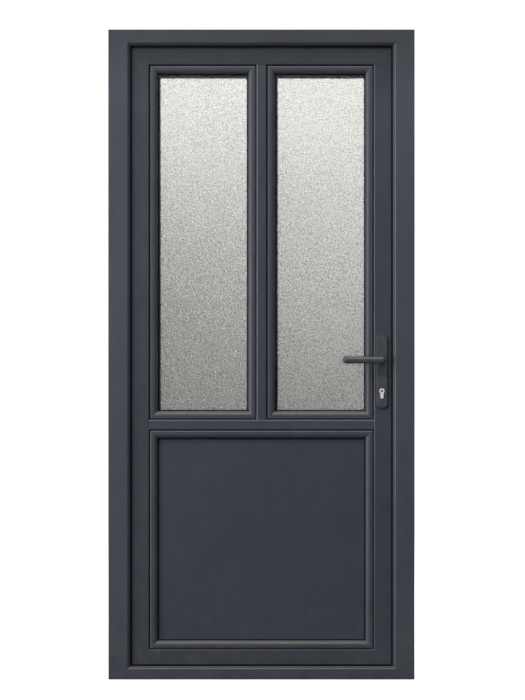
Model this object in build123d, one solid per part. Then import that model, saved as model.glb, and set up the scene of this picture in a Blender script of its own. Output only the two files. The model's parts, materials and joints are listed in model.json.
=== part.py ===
from build123d import *
import os

# A glazed uPVC side-entrance door set: an outer frame, an inward-opening leaf with two
# obscure-glass lights over one solid panel, and lever furniture on both faces.
# X runs right as seen from outside, Y runs inwards and Z up, in millimetres.
# The origin is under the middle of the sill. The outside faces look towards -Y.

# Outer frame: overall size, and widths from the outer edge to the inner edge of the stop
FRAME_WIDTH = 980.0
FRAME_HEIGHT = 2080.0
FRAME_DEPTH = 70.0
JAMB_FACE = 69.0
HEAD_FACE = 50.0
SILL_FACE = 42.0
SILL_BASE = 12.0
STOP_HEIGHT = 22.0
STOP_DEPTH = 13.0
STOP_CHAMFER = 8.0
STOP_CHAMFER_DEPTH = 8.0
STOP_ARRIS = 6.0
STOP_NOSE = 2.5
FRAME_ARRIS = 1.5
WALL_GROOVE_WIDTH = 10.0
WALL_GROOVE_DEPTH = 4.0
WALL_GROOVE_OFFSET = 22.0

# Seals: strips on the frame's stop and on the leaf's overlap, each with a root in a groove
SEAL_THICKNESS = 3.0
SEAL_CLEARANCE = 5.0
SEAL_LIP = 5.5
SEAL_SEAT = 13.0
SEAL_LIP_ROUND = 1.3
SEAL_ROOT_WIDTH = 5.0
SEAL_ROOT_DEPTH = 4.5
SEAL_ROOT_INSET = 7.0
LEAF_SEAL_WIDTH = 5.0
LEAF_SEAL_ROUND = 2.2
LEAF_SEAL_INSET = 1.5
LEAF_SEAL_ROOT = 3.0
LEAF_SEAL_ROOT_DEPTH = 3.5

# Eased edges where the leaf and its beads meet
ARRIS_WIDTH = 3.0
ARRIS_DEPTH = 1.0

# Leaf profile, measured from the leaf's edge towards the glass
EDGE_GAP = 12.0
LEAF_DEPTH = 70.0
LEAF_FACE = 70.0
OVERLAP = 19.0
OVERLAP_DEPTH = 13.0
OVERLAP_ROUND = 4.0
LEAF_EDGE_ROUND = 2.0
LEG_REACH = 27.0
LEG_DEPTH = 21.0
LEG_ROUND = 18.0
LEG_DROP = 15.0
TRANSOM_FACE = 31.0
MID_RAIL_HEIGHT = 815.0

# Lock groove in the leaf's edge: a shallow seat for the faceplate over a deep channel
HARDWARE_OFFSET = 20.0
FACEPLATE_WIDTH = 20.0
FACEPLATE_THICKNESS = 3.0
CHANNEL_WIDTH = 12.0
CHANNEL_DEPTH = 8.0

# Glazing beads, glass units and the solid panel
BEAD_QUIRK = 4.2
BEAD_QUIRK_DEPTH = 11.0
BEAD_FLAT = 9.0
BEAD_REACH = 28.5
BEAD_DROP = 14.0
BEAD_DEPTH = 15.0
GASKET_THICKNESS = 3.0
GASKET_WIDTH = 10.0
GASKET_SHOW = 3.0
GLAZING_CLEARANCE = 5.0
PANE_THICKNESS = 4.0
SPACER_WIDTH = 10.0
SPACER_INSET = 1.0

# Lever furniture
BACKSET = 45.0
SPINDLE_HEIGHT = 1023.0
CYLINDER_DROP = 100.0
BACKPLATE_WIDTH = 36.0
BACKPLATE_HEIGHT = 233.0
BACKPLATE_TOP = 78.0
BACKPLATE_THICKNESS = 10.0
BACKPLATE_CORNER = 13.0
BACKPLATE_EDGE = 2.5
LEVER_LENGTH = 126.0
LEVER_HEIGHT = 23.0
LEVER_THICKNESS = 14.0
LEVER_EDGE = 4.0
LEVER_BACK_EDGE = 3.0
LEVER_STANDOFF = 36.0
NECK_RADIUS = 9.5
NECK_CLEARANCE = 0.3
SPINDLE_SIZE = 8.0
SPINDLE_SOCKET = 22.0
SPINDLE_HOLE_RADIUS = 11.0
CYLINDER_RADIUS = 8.5
CYLINDER_TAIL = 10.0
CYLINDER_HEIGHT = 33.0
CYLINDER_PROUD = 3.0
CYLINDER_CLEARANCE = 0.3
PLUG_RADIUS = 6.5
PLUG_DEPTH = 26.0
PLUG_CLEARANCE = 0.2
KEYWAY_WIDTH = 2.4
KEYWAY_HEIGHT = 8.5
KEYWAY_DEPTH = 20.0
KEY_GUIDE_RADIUS = 3.4
KEY_GUIDE_DEPTH = 4.0

# Multipoint lock in the leaf's edge, with its bolts drawn back, and keeps on the jamb
FACEPLATE_END = 140.0
BOLT_CLEARANCE = 0.3
BOLT_WIDTH = 10.0
LATCH_DROP = 18.0
LATCH_HEIGHT = 28.0
LATCH_SHOWS = 2.0
LATCH_BEVEL = 4.0
DEAD_BOLT_HEIGHT = 36.0
DEAD_BOLT_SHOWS = 0.5
HOOK_SPREAD = 600.0
HOOK_LENGTH = 60.0
KEEP_THICKNESS = 2.5
KEEP_WIDTH = 24.0
KEEP_MARGIN = 28.0
KEEP_CORNER = 4.0
KEEP_SLOT_WIDTH = 14.0
KEEP_SLOT_SPARE = 4.0
KEEP_POCKET = 14.0

# Three hinges on the inside of the left jamb
HINGE_END = 200.0
HINGE_LENGTH = 100.0
HINGE_MIDDLE = 38.0
HINGE_GAP = 1.0
BARREL_RADIUS = 9.0
PIN_RADIUS = 4.5
PIN_CLEARANCE = 0.05
PIN_HEAD_RADIUS = 7.0
PIN_HEAD_HEIGHT = 4.0
HINGE_PLATE = 4.0
HINGE_PLATE_CORNER = 5.0
HINGE_ARM = 8.0
HINGE_SIDE_GAP = 14.0
HINGE_FACE_GAP = 5.0
SASH_PLATE_WIDTH = 52.0
FRAME_PLATE_WIDTH = 30.0

# Fixing holes through both jambs into the wall
FIXING_RADIUS = 5.0
FIXING_END = 150.0
FIXING_COUNT = 4

# Planes that the pieces share, worked out from the sizes above
FRAME_FRONT = -FRAME_DEPTH / 2
FRAME_BACK = FRAME_DEPTH / 2
HALF_WIDTH = FRAME_WIDTH / 2
STOP_BACK = FRAME_FRONT + STOP_DEPTH
STOP_X = HALF_WIDTH - JAMB_FACE
STOP_TOP = FRAME_HEIGHT - HEAD_FACE
REBATE_X = STOP_X + STOP_HEIGHT
REBATE_TOP = STOP_TOP + STOP_HEIGHT
REBATE_MIDDLE = (STOP_BACK + FRAME_BACK) / 2
LEAF_FRONT = STOP_BACK + SEAL_THICKNESS + SEAL_CLEARANCE
LEAF_BACK = LEAF_FRONT + LEAF_DEPTH
OVERLAP_FRONT = LEAF_BACK - OVERLAP_DEPTH
LEG_FRONT = LEAF_BACK - LEG_DEPTH
LEAF_X = REBATE_X - EDGE_GAP
LEAF_TOP = REBATE_TOP - EDGE_GAP
LEAF_BOTTOM = SILL_BASE + EDGE_GAP
OVERLAP_X = LEAF_X + OVERLAP
OVERLAP_TOP = LEAF_TOP + OVERLAP
OVERLAP_BOTTOM = LEAF_BOTTOM - OVERLAP
HARDWARE_Y = OVERLAP_FRONT - HARDWARE_OFFSET
BEAD_BACK = LEAF_FRONT + BEAD_DEPTH
GLASS_FRONT = BEAD_BACK + GASKET_THICKNESS
GLASS_BACK = LEG_FRONT - GASKET_THICKNESS
SPINDLE_X = LEAF_X - BACKSET
CYLINDER_Z = SPINDLE_HEIGHT - CYLINDER_DROP
LATCH_Z = SPINDLE_HEIGHT - LATCH_DROP
LEAF_MIDDLE = (LEAF_FRONT + LEAF_BACK) / 2
HINGE_X = -OVERLAP_X - HINGE_SIDE_GAP
HINGE_Y = LEAF_BACK + HINGE_FACE_GAP
CHANNEL_FLOOR_X = LEAF_X - FACEPLATE_THICKNESS - CHANNEL_DEPTH
FACEPLATE_LOW = LEAF_BOTTOM + FACEPLATE_END
FACEPLATE_HIGH = LEAF_TOP - FACEPLATE_END
HOOK_HEIGHTS = (SPINDLE_HEIGHT - HOOK_SPREAD, SPINDLE_HEIGHT + HOOK_SPREAD)
HINGE_HEIGHTS = {
    "bottom": LEAF_BOTTOM + HINGE_END,
    "middle": (LEAF_BOTTOM + LEAF_TOP) / 2,
    "top": LEAF_TOP - HINGE_END,
}
FIXING_STEP = (FRAME_HEIGHT - 2 * FIXING_END) / (FIXING_COUNT - 1)
FIXING_HEIGHTS = [FIXING_END + step * FIXING_STEP for step in range(FIXING_COUNT)]

# The three openings of the leaf between its rebate walls, as (left, bottom, right, top)
OPENING_X = LEAF_X - LEAF_FACE
HALF_TRANSOM = TRANSOM_FACE / 2
LIGHT_BOTTOM = MID_RAIL_HEIGHT + HALF_TRANSOM
LIGHT_TOP = LEAF_TOP - LEAF_FACE
LEFT_LIGHT = (-OPENING_X, LIGHT_BOTTOM, -HALF_TRANSOM, LIGHT_TOP)
RIGHT_LIGHT = (HALF_TRANSOM, LIGHT_BOTTOM, OPENING_X, LIGHT_TOP)
PANEL_OPENING = (-OPENING_X, LEAF_BOTTOM + LEAF_FACE, OPENING_X, MID_RAIL_HEIGHT - HALF_TRANSOM)


def rounded(face, x, y, radius):
    """The profile with the corner nearest to (x, y) rounded."""
    corner = face.vertices().sort_by_distance((x, y, 0))[0]
    return fillet(corner, radius)


def slab(outline, front, back):
    """An outline drawn in X and Z, made solid between two depths."""
    return extrude(Plane.XZ.offset(-back) * outline, back - front)


def rectangle(box, inset=0.0):
    """The rectangle (left, bottom, right, top) drawn in from its edges by an inset."""
    left, bottom, right, top = box
    width = right - left - 2 * inset
    height = top - bottom - 2 * inset
    return Pos((left + right) / 2, (bottom + top) / 2) * Rectangle(width, height)


def ring(box, outer, inner, front, back):
    """A flat rectangular ring between two insets of a rectangle."""
    return slab(rectangle(box, outer) - rectangle(box, inner), front, back)


def rod(radius, x, z, front, back):
    """A round bar along Y."""
    return slab(Pos(x, z) * Circle(radius), front, back)


def upright(radius, x, y, low, high):
    """A round bar along Z."""
    return Pos(x, y, low) * extrude(Circle(radius), high - low)


def mitred_bar(profile, length):
    """A bar along Z whose ends are cut at 45 degrees from the profile's outer edge."""
    reach = profile.bounding_box().max.X
    outline = Polyline((0, 0), (0, length), (reach, length - reach), (reach, reach), close=True)
    return extrude(profile, length) & slab(make_face(outline), -length, length)


def mitred_sides(profile, box):
    """Four mitred bars round a rectangle: left, top, right and bottom."""
    left, bottom, right, top = box
    tall = mitred_bar(profile, top - bottom)
    wide = mitred_bar(profile, right - left)
    return (
        Pos(left, 0, bottom) * tall,
        Pos(left, 0, top) * Rot(0, 90, 0) * wide,
        Pos(right, 0, top) * Rot(0, 180, 0) * tall,
        Pos(right, 0, bottom) * Rot(0, 270, 0) * wide,
    )


def frame_profile(width):
    """Jamb and head section: X is the distance from the wall, Y the depth."""
    wall = width - STOP_HEIGHT
    face = make_face(
        Polyline(
            (0, FRAME_FRONT),
            (width - STOP_CHAMFER, FRAME_FRONT),
            (width, FRAME_FRONT + STOP_CHAMFER_DEPTH),
            (width, STOP_BACK),
            (wall, STOP_BACK),
            (wall, FRAME_BACK),
            (0, FRAME_BACK),
            close=True,
        )
    )
    face = rounded(face, width - STOP_CHAMFER, FRAME_FRONT, STOP_ARRIS)
    face = rounded(face, width, FRAME_FRONT + STOP_CHAMFER_DEPTH, STOP_NOSE)
    face = rounded(face, wall, FRAME_BACK, FRAME_ARRIS)
    face -= seal_groove(width)
    for side in (-1, 1):
        groove = Rectangle(2 * WALL_GROOVE_DEPTH, WALL_GROOVE_WIDTH)
        face -= Pos(0, side * WALL_GROOVE_OFFSET) * groove
    return face


def seal_groove(width):
    """The groove for the seal's root in the back of the stop."""
    centre = width - SEAL_ROOT_INSET - SEAL_ROOT_WIDTH / 2
    return Pos(centre, STOP_BACK) * Rectangle(SEAL_ROOT_WIDTH, 2 * SEAL_ROOT_DEPTH)


def sill_profile():
    """The sill's upstand: the same stop as the jambs', on a low base."""
    face = make_face(
        Polyline(
            (0, FRAME_FRONT),
            (SILL_FACE - STOP_CHAMFER, FRAME_FRONT),
            (SILL_FACE, FRAME_FRONT + STOP_CHAMFER_DEPTH),
            (SILL_FACE, STOP_BACK),
            (0, STOP_BACK),
            close=True,
        )
    )
    face = rounded(face, SILL_FACE - STOP_CHAMFER, FRAME_FRONT, STOP_ARRIS)
    face = rounded(face, SILL_FACE, FRAME_FRONT + STOP_CHAMFER_DEPTH, STOP_NOSE)
    return face - seal_groove(SILL_FACE)


def corner_wedge(stop_z, edge_z, front, back):
    """The space of a head or sill between its mitres at the inner corners of the stops."""
    reach = STOP_X + abs(edge_z - stop_z)
    outline = Polyline((-reach, edge_z), (reach, edge_z), (STOP_X, stop_z), (-STOP_X, stop_z), close=True)
    return slab(make_face(outline), front, back)


def keep_slots(heights, lengths):
    """Openings in a keep for bolts at these heights, with room round each bolt."""
    slots = Sketch()
    for height, length in zip(heights, lengths):
        shape = Rectangle(KEEP_SLOT_WIDTH, length + 2 * KEEP_SLOT_SPARE)
        slots += Pos(HARDWARE_Y, height) * shape
    return slots


def across(outline, low_x, high_x):
    """An outline drawn in Y and Z, made solid between two places along X."""
    return extrude(Plane.YZ.offset(low_x) * outline, high_x - low_x)


def keep(heights, lengths):
    """A keep plate on the lock jamb, and the pockets in the jamb behind its slots."""
    low = min(heights) - lengths[0] / 2 - KEEP_MARGIN
    high = max(heights) + lengths[-1] / 2 + KEEP_MARGIN
    slots = keep_slots(heights, lengths)
    plate = Pos(HARDWARE_Y, (low + high) / 2) * RectangleRounded(KEEP_WIDTH, high - low, KEEP_CORNER)
    pockets = across(slots, REBATE_X, REBATE_X + KEEP_POCKET)
    return across(plate - slots, REBATE_X - KEEP_THICKNESS, REBATE_X), pockets


def frame_members(pockets):
    """Two jambs, head and sill, mitred at the stops."""
    head_wedge = corner_wedge(STOP_TOP, FRAME_HEIGHT, FRAME_FRONT, FRAME_BACK)
    sill_wedge = corner_wedge(SILL_FACE, 0, FRAME_FRONT, STOP_BACK)
    jamb = Pos(-HALF_WIDTH, 0, 0) * extrude(frame_profile(JAMB_FACE), FRAME_HEIGHT)
    jamb = jamb - head_wedge - sill_wedge
    for height in FIXING_HEIGHTS:
        hole = Pos(REBATE_MIDDLE, height) * Circle(FIXING_RADIUS)
        jamb -= across(hole, -HALF_WIDTH, -REBATE_X)
    head = Rot(0, 90, 0) * extrude(frame_profile(HEAD_FACE), FRAME_WIDTH)
    head = Pos(-HALF_WIDTH, 0, FRAME_HEIGHT) * head & head_wedge
    upstand = Rot(0, -90, 0) * extrude(sill_profile(), FRAME_WIDTH)
    upstand = Pos(HALF_WIDTH, 0, 0) * upstand & sill_wedge
    base = slab(rectangle((-REBATE_X, 0, REBATE_X, SILL_BASE)), STOP_BACK, FRAME_BACK)
    lock_jamb = mirror(jamb, Plane.YZ)
    for pocket in pockets:
        lock_jamb -= pocket
    return {
        "frame_hinge_jamb": jamb,
        "frame_lock_jamb": lock_jamb,
        "frame_head": head,
        "frame_sill": upstand + base,
    }


def frame_seal():
    """A strip all round the back of the stops whose round lip shows past their edges."""
    box = (-STOP_X - SEAL_SEAT, SILL_FACE - SEAL_SEAT, STOP_X + SEAL_SEAT, STOP_TOP + SEAL_SEAT)
    tip = SEAL_SEAT + SEAL_LIP
    back = STOP_BACK + SEAL_THICKNESS
    strip = make_face(Polyline((0, STOP_BACK), (tip, STOP_BACK), (tip, back), (0, back), close=True))
    strip = rounded(strip, tip, STOP_BACK, SEAL_LIP_ROUND)
    strip = rounded(strip, tip, back, SEAL_LIP_ROUND)
    strip += seal_root(SEAL_SEAT)
    return joined_ring(strip, box)


def seal_root(stop_edge):
    """The part of the seal that sits in the stop's groove, up to the stop's back."""
    centre = stop_edge - SEAL_ROOT_INSET - SEAL_ROOT_WIDTH / 2
    return Pos(centre, STOP_BACK - SEAL_ROOT_DEPTH / 2) * Rectangle(SEAL_ROOT_WIDTH, SEAL_ROOT_DEPTH)


def joined_ring(profile, box):
    """One closed strip round a rectangle, mitred at its corners."""
    left, top, right, bottom = mitred_sides(profile, box)
    return left + top + right + bottom


def leaf_profile():
    """Stile and rail section: X is the distance from the overlap's outer edge."""
    edge = OVERLAP
    wall = OVERLAP + LEAF_FACE
    tip = wall + LEG_REACH
    seat_low = HARDWARE_Y - FACEPLATE_WIDTH / 2
    seat_high = HARDWARE_Y + FACEPLATE_WIDTH / 2
    channel_low = HARDWARE_Y - CHANNEL_WIDTH / 2
    channel_high = HARDWARE_Y + CHANNEL_WIDTH / 2
    seat = edge + FACEPLATE_THICKNESS
    floor = seat + CHANNEL_DEPTH
    glass_side = Polyline(
        (edge, LEAF_FRONT),
        (wall - ARRIS_WIDTH, LEAF_FRONT),
        (wall, LEAF_FRONT + ARRIS_DEPTH),
        (wall, LEG_FRONT),
        (tip, LEG_FRONT),
        (tip, LEAF_BACK - LEG_DROP),
    )
    moulding = TangentArc((tip - LEG_ROUND, LEAF_BACK), (tip, LEAF_BACK - LEG_DROP), tangent=(1, 0))
    frame_side = Polyline(
        (tip - LEG_ROUND, LEAF_BACK),
        (0, LEAF_BACK),
        (0, OVERLAP_FRONT),
        (edge, OVERLAP_FRONT),
        (edge, seat_high),
        (seat, seat_high),
        (seat, channel_high),
        (floor, channel_high),
        (floor, channel_low),
        (seat, channel_low),
        (seat, seat_low),
        (edge, seat_low),
        (edge, LEAF_FRONT),
    )
    face = make_face([*glass_side.edges(), *moulding.edges(), *frame_side.edges()])
    face = rounded(face, 0, LEAF_BACK, OVERLAP_ROUND)
    face = rounded(face, edge, LEAF_FRONT, LEAF_EDGE_ROUND)
    root = Rectangle(LEAF_SEAL_ROOT, 2 * LEAF_SEAL_ROOT_DEPTH)
    return face - Pos(LEAF_SEAL_INSET + LEAF_SEAL_WIDTH / 2, OVERLAP_FRONT) * root


def transom_profile():
    """Mullion and mid-rail section: a leaf section with a glazing leg on both sides."""
    tip = HALF_TRANSOM + LEG_REACH
    outline = Polyline(
        (0, LEAF_FRONT),
        (HALF_TRANSOM - ARRIS_WIDTH, LEAF_FRONT),
        (HALF_TRANSOM, LEAF_FRONT + ARRIS_DEPTH),
        (HALF_TRANSOM, LEG_FRONT),
        (tip, LEG_FRONT),
        (tip, LEAF_BACK - LEG_DROP),
    )
    moulding = TangentArc((tip - LEG_ROUND, LEAF_BACK), (tip, LEAF_BACK - LEG_DROP), tangent=(1, 0))
    back = Polyline((tip - LEG_ROUND, LEAF_BACK), (0, LEAF_BACK), (0, LEAF_FRONT))
    half = make_face([*outline.edges(), *moulding.edges(), *back.edges()])
    return half + mirror(half, Plane.YZ)


def euro_outline(spare=0.0):
    """A euro-profile cylinder's section: a round head over a narrower round-footed tail."""
    foot = CYLINDER_RADIUS - CYLINDER_HEIGHT + CYLINDER_TAIL / 2
    tail = Pos(0, foot / 2) * Rectangle(CYLINDER_TAIL + 2 * spare, -foot)
    shape = Circle(CYLINDER_RADIUS + spare) + tail + Pos(0, foot) * Circle(CYLINDER_TAIL / 2 + spare)
    return Pos(SPINDLE_X, CYLINDER_Z) * shape


def leaf_members():
    """Four mitred stiles and rails, and the coped mid rail and mullion between them."""
    outer = (-OVERLAP_X, OVERLAP_BOTTOM, OVERLAP_X, OVERLAP_TOP)
    hinge_stile, top_rail, lock_stile, bottom_rail = mitred_sides(leaf_profile(), outer)
    transom = transom_profile()
    mid_rail = Rot(0, 90, 0) * extrude(transom, 2 * OPENING_X)
    mid_rail = Pos(-OPENING_X, 0, MID_RAIL_HEIGHT) * mid_rail - hinge_stile - lock_stile
    mullion = Pos(0, 0, LIGHT_BOTTOM) * extrude(transom, LIGHT_TOP - LIGHT_BOTTOM)
    mullion = mullion - mid_rail - top_rail
    lock_stile -= rod(SPINDLE_HOLE_RADIUS, SPINDLE_X, SPINDLE_HEIGHT, LEAF_FRONT, LEAF_BACK)
    lock_stile -= slab(euro_outline(CYLINDER_CLEARANCE), LEAF_FRONT, LEAF_BACK)
    return {
        "leaf_hinge_stile": hinge_stile,
        "leaf_lock_stile": lock_stile,
        "leaf_top_rail": top_rail,
        "leaf_bottom_rail": bottom_rail,
        "leaf_mid_rail": mid_rail,
        "leaf_mullion": mullion,
    }


def leaf_seal():
    """A strip round the frame side of the leaf's overlap."""
    outer = (-OVERLAP_X, OVERLAP_BOTTOM, OVERLAP_X, OVERLAP_TOP)
    low = LEAF_SEAL_INSET
    high = LEAF_SEAL_INSET + LEAF_SEAL_WIDTH
    middle = (low + high) / 2
    front = OVERLAP_FRONT - SEAL_THICKNESS
    outline = Polyline((low, OVERLAP_FRONT), (low, front), (high, front), (high, OVERLAP_FRONT), close=True)
    bulb = make_face(outline)
    bulb = rounded(bulb, low, front, LEAF_SEAL_ROUND)
    bulb = rounded(bulb, high, front, LEAF_SEAL_ROUND)
    root_middle = OVERLAP_FRONT + LEAF_SEAL_ROOT_DEPTH / 2
    bulb += Pos(middle, root_middle) * Rectangle(LEAF_SEAL_ROOT, LEAF_SEAL_ROOT_DEPTH)
    return joined_ring(bulb, outer)


def bead_profile():
    """A glazing bead: a quirk beside the leaf, a flat, and an ovolo down to the glass."""
    face = LEAF_FRONT
    shoulder = BEAD_QUIRK + BEAD_FLAT
    flat = Polyline(
        (0, BEAD_BACK),
        (0, face + BEAD_QUIRK_DEPTH),
        (BEAD_QUIRK, face + BEAD_QUIRK_DEPTH),
        (BEAD_QUIRK, face + ARRIS_DEPTH),
        (BEAD_QUIRK + ARRIS_WIDTH, face),
        (shoulder, face),
    )
    ovolo = TangentArc((shoulder, face), (BEAD_REACH, face + BEAD_DROP), tangent=(1, 0))
    back = Polyline((BEAD_REACH, face + BEAD_DROP), (BEAD_REACH, BEAD_BACK), (0, BEAD_BACK))
    return make_face([*flat.edges(), *ovolo.edges(), *back.edges()])


def glazing():
    """Beads, gaskets, sealed units and the solid panel in the leaf's three openings."""
    pieces = {}
    openings = {"left_light": LEFT_LIGHT, "right_light": RIGHT_LIGHT, "panel": PANEL_OPENING}
    profile = bead_profile()
    outer_gaskets = []
    inner_gaskets = []
    spacers = []
    for name, box in openings.items():
        left, top, right, bottom = mitred_sides(profile, box)
        pieces[name + "_side_beads"] = Compound([*left.solids(), *right.solids()])
        pieces[name + "_end_beads"] = Compound([*top.solids(), *bottom.solids()])
        outer_inset = BEAD_REACH + GASKET_SHOW
        inner_inset = LEG_REACH + GASKET_SHOW
        outer_gasket = ring(box, outer_inset - GASKET_WIDTH, outer_inset, BEAD_BACK, GLASS_FRONT)
        inner_gasket = ring(box, inner_inset - GASKET_WIDTH, inner_inset, GLASS_BACK, LEG_FRONT)
        outer_gaskets += outer_gasket.solids()
        inner_gaskets += inner_gasket.solids()
        sheet = rectangle(box, GLAZING_CLEARANCE)
        if name == "panel":
            pieces["lower_panel"] = slab(sheet, GLASS_FRONT, GLASS_BACK)
            continue
        outer_back = GLASS_FRONT + PANE_THICKNESS
        inner_front = GLASS_BACK - PANE_THICKNESS
        pieces[name + "_outer_pane"] = slab(sheet, GLASS_FRONT, outer_back)
        pieces[name + "_inner_pane"] = slab(sheet, inner_front, GLASS_BACK)
        near = GLAZING_CLEARANCE + SPACER_INSET
        spacers += ring(box, near, near + SPACER_WIDTH, outer_back, inner_front).solids()
    pieces["outer_glazing_gaskets"] = Compound(outer_gaskets)
    pieces["inner_glazing_gaskets"] = Compound(inner_gaskets)
    pieces["glass_spacers"] = Compound(spacers)
    return pieces


def backplate():
    """The outer backplate, bored for the lever's neck and cut for the cylinder."""
    front = LEAF_FRONT - BACKPLATE_THICKNESS
    middle = SPINDLE_HEIGHT + BACKPLATE_TOP - BACKPLATE_HEIGHT / 2
    outline = RectangleRounded(BACKPLATE_WIDTH, BACKPLATE_HEIGHT, BACKPLATE_CORNER)
    plate = slab(Pos(SPINDLE_X, middle) * outline, front, LEAF_FRONT)
    plate = chamfer(plate.faces().sort_by(Axis.Y)[0].edges(), BACKPLATE_EDGE)
    plate -= rod(NECK_RADIUS + NECK_CLEARANCE, SPINDLE_X, SPINDLE_HEIGHT, front, LEAF_FRONT)
    return plate - slab(euro_outline(CYLINDER_CLEARANCE), front, LEAF_FRONT)


def lever():
    """The outer lever: a round neck and a bevelled grip that points at the hinges."""
    axis_y = LEAF_FRONT - BACKPLATE_THICKNESS - LEVER_STANDOFF
    front = axis_y - LEVER_THICKNESS / 2
    back = axis_y + LEVER_THICKNESS / 2
    end = LEVER_HEIGHT / 2
    outline = SlotOverall(LEVER_LENGTH + end, LEVER_HEIGHT)
    middle = SPINDLE_X + end - (LEVER_LENGTH + end) / 2
    grip = slab(Pos(middle, SPINDLE_HEIGHT) * outline, front, back)
    grip = chamfer(grip.faces().sort_by(Axis.Y)[0].edges(), LEVER_EDGE)
    grip = chamfer(grip.faces().sort_by(Axis.Y)[-1].edges(), LEVER_BACK_EDGE)
    grip += rod(NECK_RADIUS, SPINDLE_X, SPINDLE_HEIGHT, axis_y, LEAF_FRONT)
    socket = Pos(SPINDLE_X, SPINDLE_HEIGHT) * Rectangle(SPINDLE_SIZE, SPINDLE_SIZE)
    return grip - slab(socket, LEAF_FRONT - SPINDLE_SOCKET, LEAF_FRONT)


def to_inside(shape):
    """The same piece on the inside face of the leaf."""
    return mirror(shape, Plane.XZ.offset(-LEAF_MIDDLE))


def furniture():
    """Levers, spindle, backplates and the profile cylinder with its two plugs."""
    square = Pos(SPINDLE_X, SPINDLE_HEIGHT) * Rectangle(SPINDLE_SIZE, SPINDLE_SIZE)
    spindle = slab(square, LEAF_FRONT - SPINDLE_SOCKET, LEAF_BACK + SPINDLE_SOCKET)
    front = LEAF_FRONT - BACKPLATE_THICKNESS - CYLINDER_PROUD
    back = LEAF_BACK + BACKPLATE_THICKNESS + CYLINDER_PROUD
    plug = rod(PLUG_RADIUS - PLUG_CLEARANCE, SPINDLE_X, CYLINDER_Z, front, front + PLUG_DEPTH)
    keyway = Pos(SPINDLE_X, CYLINDER_Z) * Rectangle(KEYWAY_WIDTH, KEYWAY_HEIGHT)
    plug -= slab(keyway, front, front + KEYWAY_DEPTH)
    plug -= rod(KEY_GUIDE_RADIUS, SPINDLE_X, CYLINDER_Z, front, front + KEY_GUIDE_DEPTH)
    body = slab(euro_outline(), front, back)
    for end in (front, back - PLUG_DEPTH):
        body -= rod(PLUG_RADIUS, SPINDLE_X, CYLINDER_Z, end, end + PLUG_DEPTH)
    return {
        "outer_lever": lever(),
        "inner_lever": to_inside(lever()),
        "lever_spindle": spindle,
        "outer_backplate": backplate(),
        "inner_backplate": to_inside(backplate()),
        "lock_cylinder": body,
        "cylinder_plugs": Compound([*plug.solids(), *to_inside(plug).solids()]),
    }


def bolt(height, length, shows):
    """A bolt standing on the floor of the lock groove and through the faceplate."""
    outline = Pos(HARDWARE_Y, height) * Rectangle(BOLT_WIDTH, length)
    return across(outline, CHANNEL_FLOOR_X, LEAF_X + shows)


def bevelled_latch(block):
    """The latch with the slope on its outside edge that rides over the keep."""
    nose_edges = block.faces().sort_by(Axis.X)[-1].edges()
    outside_edge = nose_edges.sort_by(Axis.Y)[0]
    return chamfer(outside_edge, LATCH_SHOWS / 2, LATCH_BEVEL)


def edge_lock():
    """The faceplate with its bolts in the leaf's edge."""
    bolts = [
        (LATCH_Z, LATCH_HEIGHT, LATCH_SHOWS),
        (CYLINDER_Z, DEAD_BOLT_HEIGHT, DEAD_BOLT_SHOWS),
    ]
    for height in HOOK_HEIGHTS:
        bolts.append((height, HOOK_LENGTH, DEAD_BOLT_SHOWS))
    plate_middle = (FACEPLATE_LOW + FACEPLATE_HIGH) / 2
    plate_length = FACEPLATE_HIGH - FACEPLATE_LOW
    outline = Pos(HARDWARE_Y, plate_middle) * Rot(0, 0, 90) * SlotOverall(plate_length, FACEPLATE_WIDTH)
    for height, length, _ in bolts:
        slot = Rectangle(BOLT_WIDTH + 2 * BOLT_CLEARANCE, length + 2 * BOLT_CLEARANCE)
        outline -= Pos(HARDWARE_Y, height) * slot
    solids = [bolt(*values) for values in bolts]
    solids[0] = bevelled_latch(solids[0])
    hooks = [solid for piece in solids[2:] for solid in piece.solids()]
    return {
        "lock_faceplate": across(outline, LEAF_X - FACEPLATE_THICKNESS, LEAF_X),
        "latch_bolt": solids[0],
        "dead_bolt": solids[1],
        "hook_bolts": Compound(hooks),
    }


def keeps():
    """Keep plates for the two hooks and for the latch with the dead bolt, with pockets."""
    upper, upper_pocket = keep((HOOK_HEIGHTS[1],), (HOOK_LENGTH,))
    lower, lower_pocket = keep((HOOK_HEIGHTS[0],), (HOOK_LENGTH,))
    middle, middle_pockets = keep((CYLINDER_Z, LATCH_Z), (DEAD_BOLT_HEIGHT, LATCH_HEIGHT))
    plates = {"upper_keep": upper, "centre_keep": middle, "lower_keep": lower}
    return plates, [upper_pocket, middle_pockets, lower_pocket]


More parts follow.
